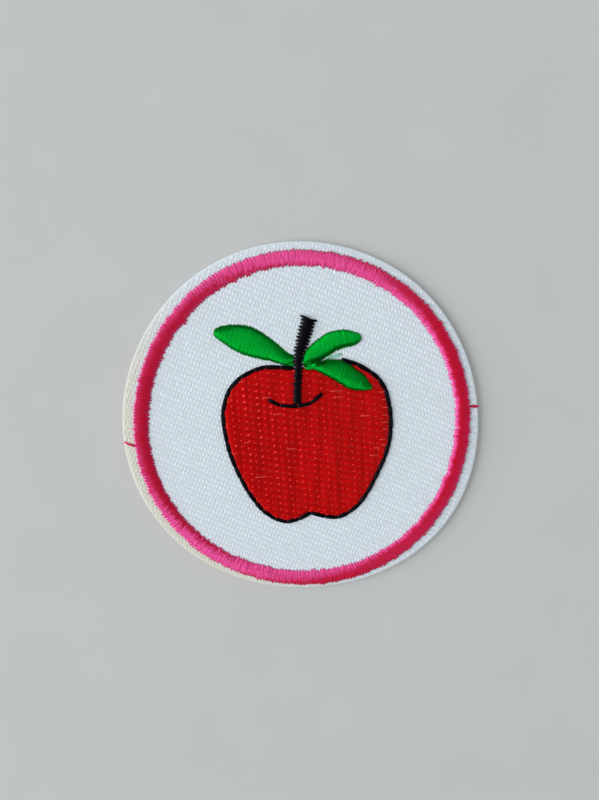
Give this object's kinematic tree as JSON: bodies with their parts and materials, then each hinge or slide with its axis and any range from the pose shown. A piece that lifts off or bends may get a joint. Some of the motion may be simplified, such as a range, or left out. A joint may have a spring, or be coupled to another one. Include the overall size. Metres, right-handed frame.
{
  "type": "iron-on patch",
  "caption": "Round iron-on patch: white twill disc with a crimson satin border ring and an embroidered red apple with black outline, stem and green leaves; glue film underneath.",
  "frame": {"origin": "middle of the border ring on the flat underside, where the patch meets the garment", "axes": "+Z out of the embroidered face, +Y towards the top of the apple's stem, +X to the apple's right as it is looked at"},
  "size_m": [0.0697, 0.0689, 0.002],
  "materials": {
    "glue_film": "heat-seal film, cream, half gloss",
    "twill": "white polyester twill",
    "ring_thread": "crimson trilobal embroidery thread, satin stitch",
    "red_thread": "red embroidery thread, step stitch",
    "black_thread": "black embroidery thread",
    "green_thread": "green embroidery thread, satin stitch"
  },
  "bodies": {
    "root": {"adhesive_backing": "glue_film", "ground_cloth": "twill", "border_ring": "ring_thread", "apple_fill": "red_thread", "apple_outline": "black_thread", "stem": "black_thread", "dimple_line": "black_thread", "leaf_left": "green_thread", "leaf_upper_right": "green_thread", "leaf_lower_right": "green_thread"}
  },
  "joints": []
}
